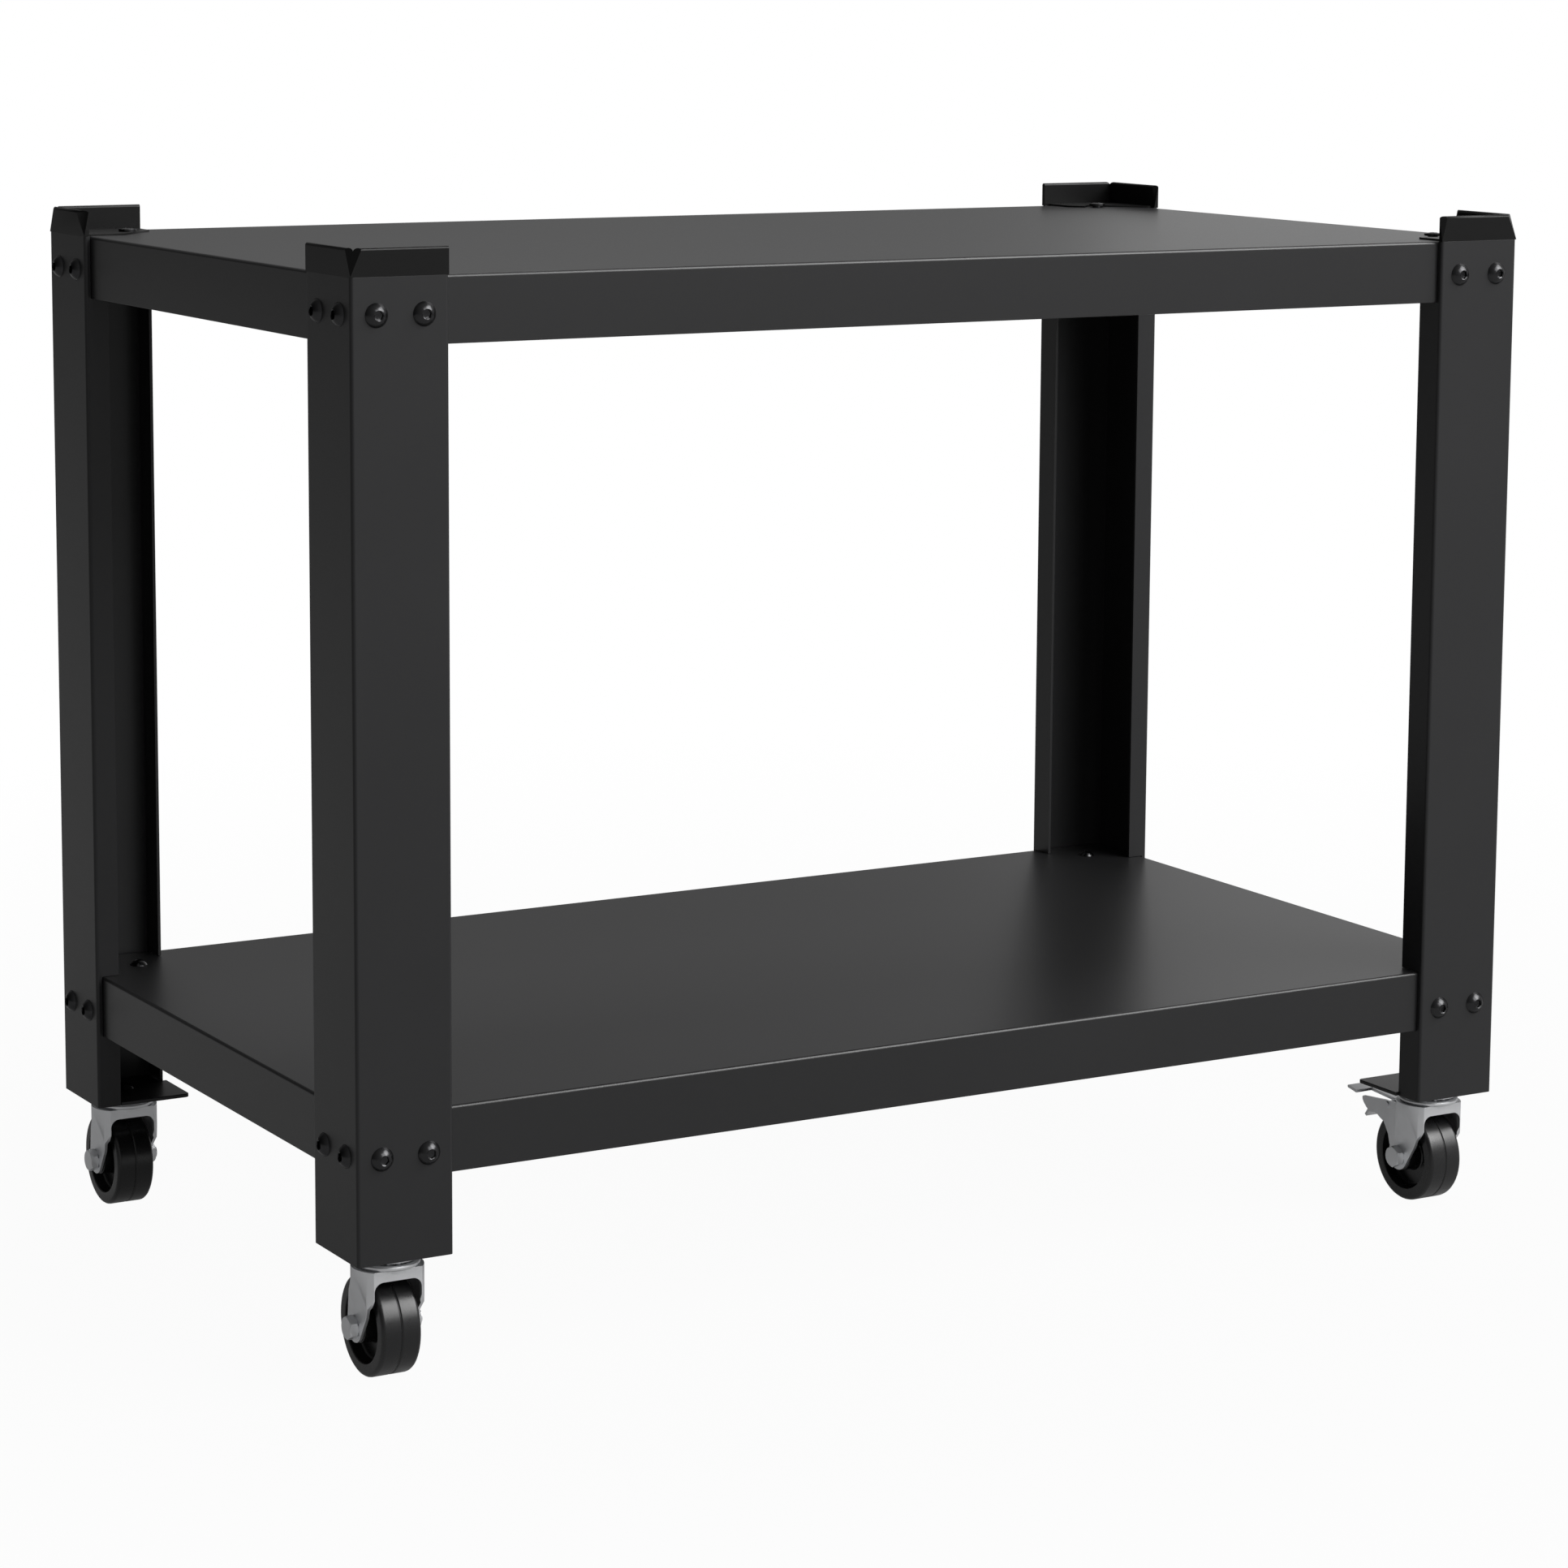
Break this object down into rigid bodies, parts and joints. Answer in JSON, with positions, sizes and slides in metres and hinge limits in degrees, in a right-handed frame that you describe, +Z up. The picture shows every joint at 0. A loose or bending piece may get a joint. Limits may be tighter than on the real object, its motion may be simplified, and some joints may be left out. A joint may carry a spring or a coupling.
{
  "type": "pizza oven stand",
  "caption": "Open stand on swivel casters: two flanged sheet steel decks bolted inside folded corner legs, with upright corner guides that hold an oven in place on top.",
  "frame": {"origin": "on the floor, in the middle between the legs", "axes": "+X along the stand's length, +Y across it towards the back, +Z up"},
  "size_m": [1.03, 0.5945, 0.815],
  "materials": {
    "powder_coat": "satin black powder coat",
    "dull_coat": "dull black powder coat",
    "black_screws": "black oxide",
    "zinc": "bright zinc plate",
    "bearing_steel": "polished",
    "wheel_black": "hard black, satin"
  },
  "bodies": {
    "stand": {"front_left_leg": "powder_coat", "front_right_leg": "powder_coat", "back_left_leg": "powder_coat", "back_right_leg": "powder_coat", "top_deck": "powder_coat", "lower_deck": "powder_coat", "front_left_guide": "dull_coat", "front_right_guide": "dull_coat", "back_left_guide": "dull_coat", "back_right_guide": "dull_coat", "front_left_plate": "powder_coat", "front_right_plate": "powder_coat", "back_left_plate": "powder_coat", "back_right_plate": "powder_coat", "leg_bolts": "black_screws", "rivet_nuts": "zinc", "corner_screws": "black_screws", "corner_nuts": "zinc", "front_left_top_race": "zinc", "front_right_top_race": "zinc", "back_left_top_race": "zinc", "back_right_top_race": "zinc", "front_left_king_bolt": "black_screws", "front_right_king_bolt": "black_screws", "back_left_king_bolt": "black_screws", "back_right_king_bolt": "black_screws", "front_left_king_nut": "zinc", "front_right_king_nut": "zinc", "back_left_king_nut": "zinc", "back_right_king_nut": "zinc", "front_left_balls": "bearing_steel", "front_right_balls": "bearing_steel", "back_left_balls": "bearing_steel", "back_right_balls": "bearing_steel"},
    "front_left_caster": {"front_left_fork": "zinc", "front_left_bush": "zinc", "front_left_axle_bolt": "zinc", "front_left_axle_nut": "zinc"},
    "front_left_wheel": {"front_left_wheel": "wheel_black"},
    "front_right_caster": {"front_right_fork": "zinc", "front_right_bush": "zinc", "front_right_axle_bolt": "zinc", "front_right_axle_nut": "zinc", "front_right_brake_pin": "zinc"},
    "front_right_wheel": {"front_right_wheel": "wheel_black"},
    "front_right_pedal": {"front_right_pedal": "zinc"},
    "back_left_caster": {"back_left_fork": "zinc", "back_left_bush": "zinc", "back_left_axle_bolt": "zinc", "back_left_axle_nut": "zinc"},
    "back_left_wheel": {"back_left_wheel": "wheel_black"},
    "back_right_caster": {"back_right_fork": "zinc", "back_right_bush": "zinc", "back_right_axle_bolt": "zinc", "back_right_axle_nut": "zinc", "back_right_brake_pin": "zinc"},
    "back_right_wheel": {"back_right_wheel": "wheel_black"},
    "back_right_pedal": {"back_right_pedal": "zinc"}
  },
  "joints": [
    {"name": "front_left_swivel", "type": "hinge", "parent": "stand", "child": "front_left_caster", "pos_m": [-0.472, -0.2535, 0.095], "axis": [0, 0, 1], "continuous": true},
    {"name": "front_left_roll", "type": "hinge", "parent": "front_left_caster", "child": "front_left_wheel", "pos_m": [-0.472, -0.2415, 0.0375], "axis": [1, 0, 0], "continuous": true},
    {"name": "front_right_swivel", "type": "hinge", "parent": "stand", "child": "front_right_caster", "pos_m": [0.472, -0.2535, 0.095], "axis": [0, 0, 1], "continuous": true},
    {"name": "front_right_roll", "type": "hinge", "parent": "front_right_caster", "child": "front_right_wheel", "pos_m": [0.472, -0.2415, 0.0375], "axis": [1, 0, 0], "continuous": true},
    {"name": "front_right_brake", "type": "hinge", "parent": "front_right_caster", "child": "front_right_pedal", "pos_m": [0.472, -0.2255, 0.077], "axis": [-1, 0, 0], "range_deg": [0, 13]},
    {"name": "back_left_swivel", "type": "hinge", "parent": "stand", "child": "back_left_caster", "pos_m": [-0.472, 0.2535, 0.095], "axis": [0, 0, 1], "continuous": true},
    {"name": "back_left_roll", "type": "hinge", "parent": "back_left_caster", "child": "back_left_wheel", "pos_m": [-0.472, 0.2655, 0.0375], "axis": [1, 0, 0], "continuous": true},
    {"name": "back_right_swivel", "type": "hinge", "parent": "stand", "child": "back_right_caster", "pos_m": [0.472, 0.2535, 0.095], "axis": [0, 0, 1], "continuous": true},
    {"name": "back_right_roll", "type": "hinge", "parent": "back_right_caster", "child": "back_right_wheel", "pos_m": [0.46036, 0.2564, 0.0375], "axis": [0.2419, 0.9703, 0], "continuous": true},
    {"name": "back_right_brake", "type": "hinge", "parent": "back_right_caster", "child": "back_right_pedal", "pos_m": [0.44483, 0.26027, 0.077], "axis": [-0.2419, -0.9703, 0], "range_deg": [0, 13]}
  ]
}
